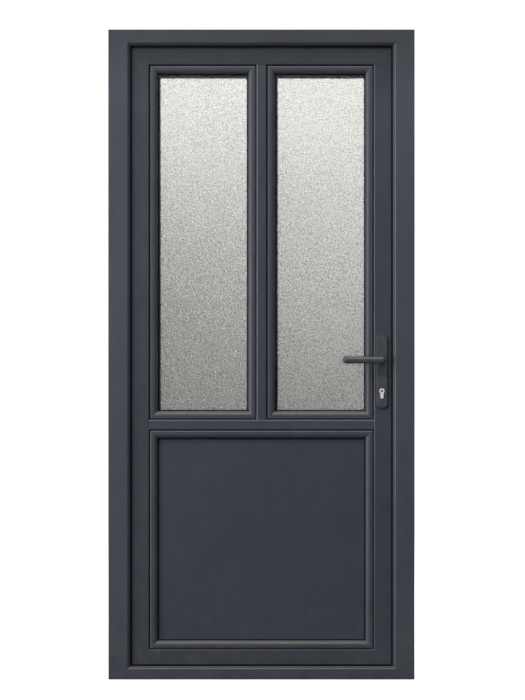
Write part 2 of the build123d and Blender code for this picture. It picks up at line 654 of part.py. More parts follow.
def hinge(height):
    """One hinge: the jamb's leaf with two barrels, the sash's leaf with one, and the pin."""
    low = height - HINGE_LENGTH / 2
    high = height + HINGE_LENGTH / 2
    knuckle_low = height - HINGE_MIDDLE / 2
    knuckle_high = height + HINGE_MIDDLE / 2
    ends = ((low, knuckle_low - HINGE_GAP), (knuckle_high + HINGE_GAP, high))
    bore = upright(PIN_RADIUS + PIN_CLEARANCE, HINGE_X, HINGE_Y, low, high)
    arm_x = HINGE_X - BARREL_RADIUS
    plate_x = HINGE_X + BARREL_RADIUS
    plate = Pos(plate_x - FRAME_PLATE_WIDTH / 2, height) * RectangleRounded(
        FRAME_PLATE_WIDTH, HINGE_LENGTH, HINGE_PLATE_CORNER
    )
    jamb_leaf = slab(plate, FRAME_BACK, FRAME_BACK + HINGE_PLATE)
    for start, stop in ends:
        arm = rectangle((arm_x, start, arm_x + HINGE_ARM, stop))
        jamb_leaf += slab(arm, FRAME_BACK, HINGE_Y)
        jamb_leaf += upright(BARREL_RADIUS, HINGE_X, HINGE_Y, start, stop)
    plate_left = -OVERLAP_X + OVERLAP_ROUND
    sash_plate = Pos(plate_left + SASH_PLATE_WIDTH / 2, height) * RectangleRounded(
        SASH_PLATE_WIDTH, HINGE_LENGTH, HINGE_PLATE_CORNER
    )
    tongue = rectangle((HINGE_X, knuckle_low, plate_left + HINGE_PLATE_CORNER, knuckle_high))
    sash_leaf = slab(sash_plate + tongue, LEAF_BACK, LEAF_BACK + HINGE_PLATE)
    sash_leaf += upright(BARREL_RADIUS, HINGE_X, HINGE_Y, knuckle_low, knuckle_high)
    pin = upright(PIN_RADIUS, HINGE_X, HINGE_Y, low, high + PIN_HEAD_HEIGHT)
    pin += upright(PIN_HEAD_RADIUS, HINGE_X, HINGE_Y, high, high + PIN_HEAD_HEIGHT)
    return jamb_leaf - bore, sash_leaf - bore, pin


def hinges():
    """Three hinges with their pins."""
    pieces = {}
    pins = []
    for name, height in HINGE_HEIGHTS.items():
        jamb_leaf, sash_leaf, pin = hinge(height)
        pieces[f"hinge_{name}_frame_leaf"] = jamb_leaf
        pieces[f"hinge_{name}_sash_leaf"] = sash_leaf
        pins += pin.solids()
    pieces["hinge_pins"] = Compound(pins)
    return pieces


def main():
    keep_plates, keep_pockets = keeps()
    pieces = {
        **frame_members(keep_pockets),
        "frame_seal": frame_seal(),
        **keep_plates,
        **leaf_members(),
        "leaf_seal": leaf_seal(),
        **glazing(),
        **edge_lock(),
        **furniture(),
        **hinges(),
    }
    os.makedirs("parts", exist_ok=True)
    for name, piece in pieces.items():
        export_step(piece, f"parts/{name}.step")


main()
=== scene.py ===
import json
import math

import bpy
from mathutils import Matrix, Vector


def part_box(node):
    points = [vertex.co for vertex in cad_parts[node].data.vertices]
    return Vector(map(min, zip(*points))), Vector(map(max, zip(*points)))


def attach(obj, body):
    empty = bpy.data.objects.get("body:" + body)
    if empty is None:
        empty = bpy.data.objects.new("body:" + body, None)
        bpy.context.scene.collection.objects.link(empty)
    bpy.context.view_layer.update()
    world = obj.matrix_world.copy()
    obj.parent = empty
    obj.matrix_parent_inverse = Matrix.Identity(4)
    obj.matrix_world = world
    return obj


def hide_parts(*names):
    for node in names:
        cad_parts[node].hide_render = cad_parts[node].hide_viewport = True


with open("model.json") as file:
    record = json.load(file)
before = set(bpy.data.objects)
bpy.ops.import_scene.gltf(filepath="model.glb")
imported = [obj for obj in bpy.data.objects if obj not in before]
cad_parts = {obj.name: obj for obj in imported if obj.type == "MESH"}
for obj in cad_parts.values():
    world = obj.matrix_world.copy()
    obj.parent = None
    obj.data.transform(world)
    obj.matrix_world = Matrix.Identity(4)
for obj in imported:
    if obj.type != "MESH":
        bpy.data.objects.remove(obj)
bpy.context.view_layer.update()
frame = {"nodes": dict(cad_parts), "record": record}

bl_info = {
    "name": "Glazed entrance door dressing",
    "version": (1, 0, 0),
    "blender": (4, 5, 0),
    "location": "View3D > Sidebar > Door",
    "description": "Foil, pebbled glass, fasteners and a plain studio for a half-glazed entrance door",
    "category": "Object",
}

# The pieces that share one finish, and how the hinges' names begin
JAMBS = ["frame_hinge_jamb", "frame_lock_jamb"]
STILES = ["leaf_hinge_stile", "leaf_lock_stile"]
HINGE_NAMES = ["hinge_bottom", "hinge_middle", "hinge_top"]
KEEPS = ["upper_keep", "centre_keep", "lower_keep"]

# How many foil grains there are to the metre along X, Y and Z, by the way that a bar runs
GRAIN_SCALES = {None: (1500, 1500, 1500), "x": (90, 1700, 1700), "z": (1700, 1700, 90)}

# Distance from the edge of a leaf opening to the first glass that shows, in metres
SIGHT_LINE = 0.0315

# How much further the painted shade of the beads reaches into the glass along its left side and its top, in
# metres
LEFT_SHADE = 0.004
TOP_SHADE = 0.01

# How much less the painted shade of the beads reaches along the glass's right side and its foot, where the
# beads are lit, in metres
LIT_EDGE = 0.003

# Width of the painted shade in the groove between the leaf and the beads, along the left and top edges of
# each opening, in metres
PAINTED_GROOVE_WIDTHS = {"left_light": 0.0056, "right_light": 0.0056, "panel": 0.0044}

# Height of the strip along the foot of the frame, in metres
FOOT_STRIP = 0.0195

# Over how far the painted shade darkens the foil towards the top and the foot of the door, in metres
FADE = 0.18

# Painted shade and light in the foil, where 1 is plain: darker at the frame's foot and top and at the leaf's
# top, lighter on the mid rail
PAINTED_FRAME_FOOT_SHADE = 0.86
PAINTED_FRAME_TOP_SHADE = 0.67
PAINTED_LEAF_TOP_SHADE = 0.48
PAINTED_MID_RAIL_LIGHT = 1.1

# Half the width of the weld lines at mitres, and of the lines at butt joints and the foot strip, in metres
MITRE_HALF = 0.0012
BUTT_HALF = 0.0008

# No line here: a place that is off every piece, in metres
NOWHERE = 9.0

# Colours of painted shade in the grooves and along the glass's edges, of the key guide's grime and painted
# shade, of the rubber's bloom, clear glass, spacer bars, the floor and the room behind the glass
PAINTED_GROOVE_SHADE = (0.004, 0.004, 0.0045, 1)
RUBBER_BLOOM = (0.006, 0.006, 0.0065, 1)
KEY_GUIDE_GRIME_AND_SHADE = (0.006, 0.006, 0.006, 1)
SHADED_GLASS = (0.03, 0.03, 0.03, 1)
CLEAN_GLASS = (0.975, 0.985, 0.978, 1)
SMEARED_GLASS = (0.94, 0.955, 0.945, 1)
SPACER_METAL = (0.6, 0.61, 0.62, 1)
PALE_FLOOR = (0.86, 0.86, 0.86, 1)
PALER_FLOOR = (0.9, 0.9, 0.9, 1)
UNSEEN_FLOOR = (0.12, 0.12, 0.12, 1)
WARM_ROOM = (1.0, 1.0, 0.95, 1)
COOL_ROOM = (0.985, 0.97, 1.0, 1)

# How finely each metal is brushed, in streaks to the metre along X, Y and Z
NICKEL_STREAKS = (900, 40, 900)
ZINC_STREAKS = (500, 500, 12)
SPACER_STREAKS = (300, 300, 8)
SCREW_STREAKS = (400, 400, 400)

# What the lamps are turned to, and where the card behind the door stands and how wide it is, in metres
DOOR_MIDDLE = (0.0, 0.0, 1.04)
CARD_PLACE = (0, 1.3, 1.2)
CARD_SIZE = 5.0

# Width of the floor, and its level just under the sill, in metres
FLOOR_SIZE = 60.0
FLOOR_LEVEL = -0.0005

# How deep a lever's neck is buried in its grip, in metres
NECK_OVERLAP = 0.004

# How far a grip's front and back rims are softened, as shares of its half height
FRONT_RIM = 0.85
BACK_RIM = 0.25

# Thickness of the hinges' plates in metres
HINGE_PLATE = 0.004

# Places of screws in metres: from the ends of keeps and faceplate, past the bolts, and on the hinges' leaves
KEEP_SCREW_INSET = 0.012
FACEPLATE_SCREW_INSET = 0.014
BOLT_SCREW_GAPS = {"latch_bolt": 0.03, "dead_bolt": 0.012, "hook_bolts": 0.03}
HINGE_SCREW_RISE = 0.036
SASH_SCREW_INSETS = (0.011, 0.036)

# Distance of the handle bolts from the foot and the top of the inner backplate, in metres
BOLT_FROM_FOOT = 0.015
BOLT_FROM_TOP = 0.017


class DoorFinish(bpy.types.PropertyGroup):
    """Colours of the door's surfaces and sizes of its small fittings."""

    foil_colour: bpy.props.FloatVectorProperty(
        name="Foil",
        description="Colour of the satin foil on the frame and of the caps over its fixings",
        subtype="COLOR",
        size=4,
        min=0,
        max=1,
        default=(0.0558, 0.0618, 0.0775, 1),
    )
    # Darker than the frame's foil: the shade of the set-back leaf is painted into this colour
    leaf_colour_with_painted_shade: bpy.props.FloatVectorProperty(
        name="Leaf foil",
        description="Colour of the satin foil on the leaf, beads and panel",
        subtype="COLOR",
        size=4,
        min=0,
        max=1,
        default=(0.0425, 0.048, 0.0625, 1),
    )
    # Also mixed into the beads' upward-facing ledges, where it paints a highlight as well as dust
    dust_and_highlight_colour: bpy.props.FloatVectorProperty(
        name="Dust",
        description="Colour of the dust near the sill and on the beads' ledges",
        subtype="COLOR",
        size=4,
        min=0,
        max=1,
        default=(0.11, 0.105, 0.1, 1),
    )
    rubber_colour: bpy.props.FloatVectorProperty(
        name="Rubber",
        description="Colour of the weather seals and glazing gaskets",
        subtype="COLOR",
        size=4,
        min=0,
        max=1,
        default=(0.0025, 0.0025, 0.003, 1),
    )
    handle_colour: bpy.props.FloatVectorProperty(
        name="Handle coat",
        description="Colour of the powder coat on levers, backplates and hinges",
        subtype="COLOR",
        size=4,
        min=0,
        max=1,
        default=(0.049, 0.053, 0.0635, 1),
    )
    nickel_colour: bpy.props.FloatVectorProperty(
        name="Nickel",
        description="Colour of the lock cylinder",
        subtype="COLOR",
        size=4,
        min=0,
        max=1,
        default=(0.9, 0.89, 0.86, 1),
    )
    zinc_colour: bpy.props.FloatVectorProperty(
        name="Zinc",
        description="Colour of the plated lock parts",
        subtype="COLOR",
        size=4,
        min=0,
        max=1,
        default=(0.62, 0.62, 0.62, 1),
    )
    glass_tint: bpy.props.FloatVectorProperty(
        name="Glass tint",
        description="Tint of the float and pebbled glass",
        subtype="COLOR",
        size=4,
        min=0,
        max=1,
        default=(0.92, 0.925, 0.9, 1),
    )
    pebble_size: bpy.props.FloatProperty(
        name="Pebble size",
        description="Width of one pebble of the obscure glass",
        unit="LENGTH",
        default=0.005,
        min=0.004,
    )
    pebble_height: bpy.props.FloatProperty(
        name="Pebble height",
        description="Height of the pebbles above the hollows between them",
        unit="LENGTH",
        default=0.0022,
        min=0.0002,
    )
    pebble_grid: bpy.props.FloatProperty(
        name="Pebble grid",
        description="Distance between the points of the pebbled face",
        unit="LENGTH",
        default=0.0021,
        min=0.001,
    )
    grip_depth: bpy.props.FloatProperty(
        name="Grip depth",
        description="Thickness of the levers' grips from front to back",
        unit="LENGTH",
        default=0.014,
        min=0.005,
    )
    neck_radius: bpy.props.FloatProperty(
        name="Neck radius",
        description="Radius of the levers' necks at both ends",
        unit="LENGTH",
        default=0.0095,
        min=0.003,
    )
    neck_waist: bpy.props.FloatProperty(
        name="Neck waist",
        description="Radius of the levers' necks in the middle, as a share of their ends",
        subtype="FACTOR",
        default=0.82,
        min=0.5,
        max=1.0,
    )
    screw_radius: bpy.props.FloatProperty(
        name="Screw radius",
        description="Radius of the heads of the countersunk screws",
        unit="LENGTH",
        default=0.0037,
        min=0.001,
    )
    bolt_radius: bpy.props.FloatProperty(
        name="Handle bolt radius",
        description="Radius of the heads of the two bolts through the backplates",
        unit="LENGTH",
        default=0.0045,
        min=0.001,
    )
    cap_radius: bpy.props.FloatProperty(
        name="Cap radius",
        description="Radius of the caps over the frame's fixings",
        unit="LENGTH",
        default=0.0075,
        min=0.001,
    )
    cap_height: bpy.props.FloatProperty(
        name="Cap height",
        description="Height of the caps above the jamb",
        unit="LENGTH",
        default=0.0016,
        min=0.0005,
    )


class DoorStage(bpy.types.PropertyGroup):
    """The plain studio round the door."""

    lens: bpy.props.FloatProperty(
        name="Lens",
        description="Focal length of the camera in millimetres",
        default=150.0,
    )
    camera_place: bpy.props.FloatVectorProperty(
        name="Camera",
        description="Place of the camera, level with the middle of the door",
        subtype="XYZ",
        unit="LENGTH",
        default=(0.0033, -9.368, 1.0546),
    )
    side_place: bpy.props.FloatVectorProperty(
        name="Side softbox",
        description="Place of the softbox in front, on the left",
        subtype="XYZ",
        unit="LENGTH",
        default=(-4.0, -3.4, 1.5),
    )
    side_power: bpy.props.FloatProperty(
        name="Side power",
        description="Power of the softbox on the left",
        unit="POWER",
        default=182.0,
    )
    top_place: bpy.props.FloatVectorProperty(
        name="Top softbox",
        description="Place of the softbox in front, overhead",
        subtype="XYZ",
        unit="LENGTH",
        default=(0.0, -3.4, 5.0),
    )
    top_power: bpy.props.FloatProperty(
        name="Top power",
        description="Power of the softbox overhead",
        unit="POWER",
        default=160.0,
    )
    back_place: bpy.props.FloatVectorProperty(
        name="Back softbox",
        description="Place of the softbox behind, which lights the inside face and the lock side",
        subtype="XYZ",
        unit="LENGTH",
        default=(3.5, 3.2, 3.4),
    )
    back_power: bpy.props.FloatProperty(
        name="Back power",
        description="Power of the softbox behind",
        unit="POWER",
        default=225.0,
    )
    softbox_size: bpy.props.FloatProperty(
        name="Softbox size",
        description="Side of each square softbox",
        unit="LENGTH",
        default=3.2,
    )
    ambient: bpy.props.FloatProperty(
        name="Ambient",
        description="Brightness of the studio's walls towards the horizon",
        default=0.16,
    )


def finish_values():
    """The colours and sizes of the surfaces."""
    return bpy.context.scene.door_finish


def stage_values():
    """The settings of the studio."""
    return bpy.context.scene.door_stage


def clear_selection():
    """Nothing selected and nothing active, so that the next operator acts on new work only."""
    bpy.ops.object.select_all(action="DESELECT")
    bpy.context.view_layer.objects.active = None


def start_material(name):
    """A new material with its node tree and its surface shader."""
    material = bpy.data.materials.new(name)
    material.use_nodes = True
    tree = material.node_tree
    return material, tree, tree.nodes["Principled BSDF"]


def add_node(tree, kind, values=None, **settings):
    """A node with its settings, and its inputs linked to sockets or set to values."""
    node = tree.nodes.new(kind)
    for name, value in settings.items():
        setattr(node, name, value)
    for name, value in (values or {}).items():
        if isinstance(value, bpy.types.NodeSocket):
            tree.links.new(value, node.inputs[name])
        else:
            node.inputs[name].default_value = value
    return node


def maths(tree, operation, first, second=0.0):
    """The result of one sum on two sockets or numbers."""
    node = add_node(tree, "ShaderNodeMath", {0: first, 1: second}, operation=operation)
    return node.outputs[0]


def noise(tree, where, scale, detail=2.0, roughness=0.5):
    """A cloud pattern between 0 and 1, with so many clouds to the metre."""
    values = {"Vector": where, "Scale": scale, "Detail": detail, "Roughness": roughness}
    return add_node(tree, "ShaderNodeTexNoise", values).outputs[0]


def spread(tree, value, low, high, to_low, to_high):
    """A value carried from one range to another and held there."""
    values = {"Value": value, "From Min": low, "From Max": high, "To Min": to_low, "To Max": to_high}
    return add_node(tree, "ShaderNodeMapRange", values).outputs[0]


def mixed(tree, share, first, second, blend="MIX"):
    """Two colours mixed by a share."""
    values = {0: share, 6: first, 7: second}
    return add_node(tree, "ShaderNodeMix", values, data_type="RGBA", blend_type=blend).outputs[2]


def object_place(tree):
    """Place on the piece in metres."""
    return add_node(tree, "ShaderNodeTexCoord").outputs["Object"]


def x_and_z(tree, where):
    """How far a place is to the right and how far up."""
    axes = add_node(tree, "ShaderNodeSeparateXYZ", {0: where})
    return axes.outputs[0], axes.outputs[2]


def bump(tree, height, distance, strength=1.0, below=None):
    """A surface normal tilted by a height, on top of another normal."""
    values = {"Height": height, "Distance": distance, "Strength": strength}
    if below is not None:
        values["Normal"] = below
    return add_node(tree, "ShaderNodeBump", values).outputs[0]


def recolour(material, share, colour):
    """Mix a second colour into a material's own by a share."""
    tree = material.node_tree
    shader = tree.nodes["Principled BSDF"]
    first = shader.inputs["Base Color"].links[0].from_socket
    tree.links.new(mixed(tree, share, first, colour), shader.inputs["Base Color"])


def near_line(tree, value, place, half_width):
    """1 on a line where the value has this level, fading to 0 at its sides."""
    away = maths(tree, "ABSOLUTE", maths(tree, "SUBTRACT", value, place))
    return spread(tree, away, 0.0, half_width, 1.0, 0.0)


def mitre_lines(tree, x, z, top_line, bottom_line):
    """1 on the welded 45 degree corners of a frame."""
    side = maths(tree, "ABSOLUTE", x)
    top = near_line(tree, maths(tree, "SUBTRACT", side, z), top_line, MITRE_HALF)
    bottom = near_line(tree, maths(tree, "ADD", side, z), bottom_line, MITRE_HALF)
    return maths(tree, "MAXIMUM", top, bottom)


def foil(name, colour, along=None, top_line=NOWHERE, bottom_line=NOWHERE, butt_line=NOWHERE,
         foot_line=NOWHERE, foot=1.0, top=NOWHERE, painted_top_shade=1.0):
    """Satin foil on plastic profiles: grain, clouds, low dust, weld lines, and painted shade that darkens it
    towards the top and the foot.
    """
    look = finish_values()
    material, tree, shader = start_material(name)
    where = object_place(tree)
    x, z = x_and_z(tree, where)
    stretch = GRAIN_SCALES[along]
    brushed = add_node(tree, "ShaderNodeMapping", {0: where, 3: stretch}).outputs[0]
    grain = noise(tree, brushed, 1.0, 2.0, 0.6)
    streaks = noise(tree, brushed, 0.22, 2.0, 0.6)
    ripple = noise(tree, where, 170.0, 2.0)
    clouds = noise(tree, where, 3.2, 4.0, 0.6)
    patches = noise(tree, where, 26.0, 3.0)
    seams = mitre_lines(tree, x, z, top_line, bottom_line)
    butt = near_line(tree, maths(tree, "ABSOLUTE", x), butt_line, BUTT_HALF)
    seams = maths(tree, "MAXIMUM", seams, butt)
    seams = maths(tree, "MAXIMUM", seams, near_line(tree, z, foot_line, BUTT_HALF))
    tone = spread(tree, clouds, 0.3, 0.7, 0.9, 1.1)
    tone = maths(tree, "MULTIPLY", tone, spread(tree, grain, 0.3, 0.7, 0.91, 1.09))
    tone = maths(tree, "MULTIPLY", tone, spread(tree, streaks, 0.3, 0.7, 0.91, 1.09))
    tone = maths(tree, "MULTIPLY", tone, spread(tree, seams, 0.0, 1.0, 1.0, 0.85))
    # Painted shade: the foil darkens within a fade of the foot and of the top
    tone = maths(tree, "MULTIPLY", tone, spread(tree, z, 0.0, FADE, foot, 1.0))
    tone = maths(tree, "MULTIPLY", tone, spread(tree, z, top - FADE, top, 1.0, painted_top_shade))
    toned = add_node(tree, "ShaderNodeCombineXYZ", {0: tone, 1: tone, 2: tone}).outputs[0]
    colour = mixed(tree, 1.0, tuple(colour), toned, "MULTIPLY")
    low_down = spread(tree, z, 0.0, 0.3, 0.12, 0.0)
    dusty = maths(tree, "MULTIPLY", low_down, spread(tree, patches, 0.35, 0.7, 0.0, 1.0))
    colour = mixed(tree, dusty, colour, tuple(look.dust_and_highlight_colour))
    tree.links.new(colour, shader.inputs["Base Color"])
    rough = spread(tree, patches, 0.25, 0.75, 0.29, 0.38)
    rough = maths(tree, "ADD", rough, maths(tree, "MULTIPLY", dusty, 0.5))
    tree.links.new(rough, shader.inputs["Roughness"])
    normal = bump(tree, maths(tree, "SUBTRACT", 1.0, seams), 0.0003, 0.4)
    normal = bump(tree, ripple, 0.0002, 0.25, normal)
    normal = bump(tree, grain, 0.00012, 0.25, normal)
    tree.links.new(normal, shader.inputs["Normal"])
    return material


def bead_foil(name, colour, along, edge, groove):
    """Dull foil on a pair of glazing beads, with painted shade in the groove along one edge, and dust on the
    ledges that also paints a highlight on them.
    """
    material = foil(name, colour, along)
    tree = material.node_tree
    shader = tree.nodes["Principled BSDF"]
    x, z = x_and_z(tree, object_place(tree))
    level = x if along == "z" else z
    from_edge = maths(tree, "ABSOLUTE", maths(tree, "SUBTRACT", level, edge))
    # Painted shade in the groove: along the left edge of side beads and the top edge of end beads
    groove_shade = spread(tree, from_edge, groove - 0.0004, groove, 0.96, 0.0)
    # Lighter upward-facing ledges: partly dust, partly a painted highlight
    facing = add_node(tree, "ShaderNodeNewGeometry").outputs["Normal"]
    upward = add_node(tree, "ShaderNodeSeparateXYZ", {0: facing}).outputs[2]
    recolour(material, spread(tree, upward, 0.05, 0.6, 0.0, 0.6), tuple(finish_values().dust_and_highlight_colour))
    recolour(material, groove_shade, PAINTED_GROOVE_SHADE)
    rough = shader.inputs["Roughness"].links[0].from_socket
    duller = spread(tree, groove_shade, 0.0, 1.0, 0.1, 0.6)
    tree.links.new(maths(tree, "ADD", rough, duller), shader.inputs["Roughness"])
    return material


def coat(material, names):
    """The material on these CAD nodes."""
    for name in names:
        mesh = frame["nodes"][name].data
        mesh.materials.clear()
        mesh.materials.append(material)


def rubber(name):
    """Matt black rubber with a fine bloom."""
    material, tree, shader = start_material(name)
    where = object_place(tree)
    bloom = noise(tree, where, 90.0, 3.0)
    skin = noise(tree, where, 1200.0, 2.0)
    black = tuple(finish_values().rubber_colour)
    colour = mixed(tree, spread(tree, bloom, 0.4, 0.8, 0.0, 0.25), black, RUBBER_BLOOM)
    tree.links.new(colour, shader.inputs["Base Color"])
    tree.links.new(spread(tree, bloom, 0.3, 0.7, 0.55, 0.75), shader.inputs["Roughness"])
    tree.links.new(bump(tree, skin, 0.0001, 0.3), shader.inputs["Normal"])
    shader.inputs["Specular IOR Level"].default_value = 0.12
    return material


def float_glass():
    """Clear glass with faint smears."""
    material, tree, shader = start_material("float_glass")
    where = object_place(tree)
    smears = noise(tree, where, 14.0, 3.0)
    share = spread(tree, smears, 0.4, 0.8, 0.0, 1.0)
    colour = mixed(tree, share, CLEAN_GLASS, SMEARED_GLASS)
    tree.links.new(colour, shader.inputs["Base Color"])
    tree.links.new(spread(tree, smears, 0.3, 0.8, 0.0, 0.04), shader.inputs["Roughness"])
    shader.inputs["IOR"].default_value = 1.5
    shader.inputs["Transmission Weight"].default_value = 1.0
    return material


def edge_shade(tree, where, x, z):
    """1 at the sight line of a light, fading unevenly to 0: painted shade of the beads on the glass."""
    left_low, left_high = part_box("left_light_side_beads")
    right_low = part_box("right_light_side_beads")[0]
    in_right = maths(tree, "GREATER_THAN", x, 0.0)
    shift = maths(tree, "MULTIPLY", in_right, right_low.x - left_low.x)
    along = maths(tree, "SUBTRACT", x, shift)
    from_left = maths(tree, "SUBTRACT", along, left_low.x + SIGHT_LINE + LEFT_SHADE)
    from_right = maths(tree, "SUBTRACT", left_high.x - SIGHT_LINE + LIT_EDGE, along)
    from_bottom = maths(tree, "SUBTRACT", z, left_low.z + SIGHT_LINE - LIT_EDGE)
    from_top = maths(tree, "SUBTRACT", left_high.z - SIGHT_LINE - TOP_SHADE, z)
    nearest = maths(tree, "MINIMUM", from_left, from_right)
    nearest = maths(tree, "MINIMUM", nearest, from_bottom)
    nearest = maths(tree, "MINIMUM", nearest, from_top)
    ragged = maths(tree, "MULTIPLY", maths(tree, "SUBTRACT", noise(tree, where, 240.0, 1.0), 0.5), 0.009)
    return spread(tree, maths(tree, "ADD", nearest, ragged), 0.0, 0.003, 1.0, 0.0)


def pebbled_glass():
    """Obscure glass: pebbles with painted shade in their hollows, stronger lower down, a fine stipple, and
    painted shade of the beads along its edges.
    """
    look = finish_values()
    material, tree, shader = start_material("pebbled_glass")
    where = object_place(tree)
    x, z = x_and_z(tree, where)
    cells = {"Vector": where, "Scale": 1.0 / look.pebble_size}
    hollows = add_node(tree, "ShaderNodeTexVoronoi", cells).outputs["Distance"]
    stipple = noise(tree, where, 420.0, 2.0)
    smears = noise(tree, where, 14.0, 3.0)
    tint = tuple(look.glass_tint)
    shade = tuple(value * 0.5 for value in tint[:3]) + (1.0,)
    # Painted shade in the pebbles' hollows, stronger towards the lower part of the pane
    hollow_shade_depth = spread(tree, z, 1.45, 2.0, 0.85, 0.5)
    colour = mixed(tree, spread(tree, hollows, 0.2, 0.8, 0.0, hollow_shade_depth), tint, shade)
    # Painted shade of the beads along the edges of the glass
    colour = mixed(tree, edge_shade(tree, where, x, z), colour, SHADED_GLASS)
    tree.links.new(colour, shader.inputs["Base Color"])
    tree.links.new(spread(tree, smears, 0.3, 0.7, 0.04, 0.1), shader.inputs["Roughness"])
    normal = bump(tree, hollows, 0.0013, 0.6)
    tree.links.new(bump(tree, stipple, 0.0007, 0.6, normal), shader.inputs["Normal"])
    shader.inputs["IOR"].default_value = 1.5
    shader.inputs["Specular IOR Level"].default_value = 0.2
    shader.inputs["Transmission Weight"].default_value = 0.82
    return material


def metal(name, colour, roughness, streaks, metallic=1.0):
    """Plated metal: fine brushed streaks, dull patches and a little tarnish."""
    material, tree, shader = start_material(name)
    where = object_place(tree)
    stretched = add_node(tree, "ShaderNodeMapping", {0: where, 3: streaks}).outputs[0]
    lines = noise(tree, stretched, 1.0, 3.0, 0.6)
    patches = noise(tree, where, 60.0, 3.0)
    dull = tuple(value * 0.72 for value in colour[:3]) + (1.0,)
    tree.links.new(mixed(tree, spread(tree, patches, 0.35, 0.75, 0.0, 0.6), tuple(colour), dull),
                   shader.inputs["Base Color"])
    uneven = maths(tree, "ADD", spread(tree, lines, 0.3, 0.7, -0.07, 0.07), roughness)
    tree.links.new(maths(tree, "ADD", uneven, spread(tree, patches, 0.4, 0.8, 0.0, 0.1)),
                   shader.inputs["Roughness"])
    tree.links.new(bump(tree, lines, 0.00005, 0.4), shader.inputs["Normal"])
    shader.inputs["Metallic"].default_value = metallic
    return material


def plug_metal():
    """The cylinder's nickel with a dark key guide in the middle of each plug: dark grime and painted shade in
    its recess.
    """
    material = metal("plug_nickel", finish_values().nickel_colour, 0.4, NICKEL_STREAKS, metallic=0.15)
    tree = material.node_tree
    low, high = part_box("cylinder_plugs")
    x, z = x_and_z(tree, object_place(tree))
    across = maths(tree, "SUBTRACT", x, (low.x + high.x) / 2)
    up = maths(tree, "SUBTRACT", z, (low.z + high.z) / 2)
    away = maths(tree, "ADD", maths(tree, "MULTIPLY", across, across), maths(tree, "MULTIPLY", up, up))
    # Dark disc over the key guide's recess: grime and painted shade
    guide = spread(tree, maths(tree, "SQRT", away), 0.0034, 0.0038, 1.0, 0.0)
    recolour(material, guide, KEY_GUIDE_GRIME_AND_SHADE)
    return material


def powder_coat(name, dullest, shine):
    """Satin powder coat: orange-peel skin, faint clouds and rubbed patches."""
    material, tree, shader = start_material(name)
    where = object_place(tree)
    peel = noise(tree, where, 900.0, 2.0)
    clouds = noise(tree, where, 35.0, 3.0)
    colour = tuple(finish_values().handle_colour)
    rubbed = tuple(value * 1.35 for value in colour[:3]) + (1.0,)
    tree.links.new(mixed(tree, spread(tree, clouds, 0.35, 0.75, 0.0, 1.0), colour, rubbed),
                   shader.inputs["Base Color"])
    tree.links.new(spread(tree, clouds, 0.3, 0.7, dullest - 0.12, dullest), shader.inputs["Roughness"])
    tree.links.new(bump(tree, peel, 0.0002, 0.3), shader.inputs["Normal"])
    shader.inputs["Specular IOR Level"].default_value = shine
    return material


def edit(piece):
    """Open one piece in edit mode with nothing selected."""
    clear_selection()
    piece.select_set(True)
    bpy.context.view_layer.objects.active = piece
    bpy.ops.object.mode_set(mode="EDIT")
    bpy.ops.mesh.select_all(action="DESELECT")


def apply_modifier(piece, kind, **settings):
    """Add a modifier, set it and apply it."""
    bpy.context.view_layer.objects.active = piece
    bpy.ops.object.modifier_add(type=kind)
    modifier = piece.modifiers[-1]
    for name, value in settings.items():
        setattr(modifier, name, value)
    bpy.ops.object.modifier_apply(modifier=modifier.name)


def pebbled_pane(name, node):
    """A pane whose outside is a grid raised into pebbles, closed by a flat back."""
    look = finish_values()
    low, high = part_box(node)
    size = high - low
    middle = (low + high) / 2
    clear_selection()
    bpy.ops.mesh.primitive_grid_add(
        x_subdivisions=round(size.x / look.pebble_grid),
        y_subdivisions=round(size.z / look.pebble_grid),
        size=1.0,
        location=(middle.x, low.y + look.pebble_height, middle.z),
        rotation=(math.radians(90), 0, 0),
    )
    pane = bpy.context.object
    pane.name = name
    pane.scale = (size.x, size.z, 1.0)
    bpy.ops.object.transform_apply(location=True, rotation=True, scale=True)
    pebbles = bpy.data.textures.new(name + "_pebbles", "VORONOI")
    pebbles.noise_scale = look.pebble_size
    pebbles.distance_metric = "DISTANCE"
    apply_modifier(
        pane,
        "DISPLACE",
        texture=pebbles,
        texture_coords="LOCAL",
        direction="NORMAL",
        strength=-look.pebble_height,
        mid_level=1.0,
    )
    apply_modifier(pane, "SMOOTH", factor=0.35, iterations=1)
    edit(pane)
    bpy.ops.mesh.select_mode(type="EDGE")
    bpy.ops.mesh.select_non_manifold()
    bpy.ops.mesh.extrude_edges_move(TRANSFORM_OT_translate={"value": (0, size.y / 2, 0)})
    bpy.ops.transform.resize(value=(1, 0, 1), center_override=(middle.x, high.y, middle.z))
    bpy.ops.mesh.edge_face_add()
    bpy.ops.mesh.select_all(action="SELECT")
    bpy.ops.mesh.normals_make_consistent(inside=False)
    bpy.ops.object.mode_set(mode="OBJECT")
    bpy.ops.object.shade_smooth_by_angle(angle=math.radians(50))
    return pane


def select_where(piece, test):
    """Select only the edges whose two ends both pass a test, in edit mode."""
    mesh = piece.data
    bpy.ops.mesh.select_all(action="DESELECT")
    bpy.ops.object.mode_set(mode="OBJECT")
    for edge in mesh.edges:
        edge.select = all(test(mesh.vertices[index].co) for index in edge.vertices)
    bpy.ops.object.mode_set(mode="EDIT")


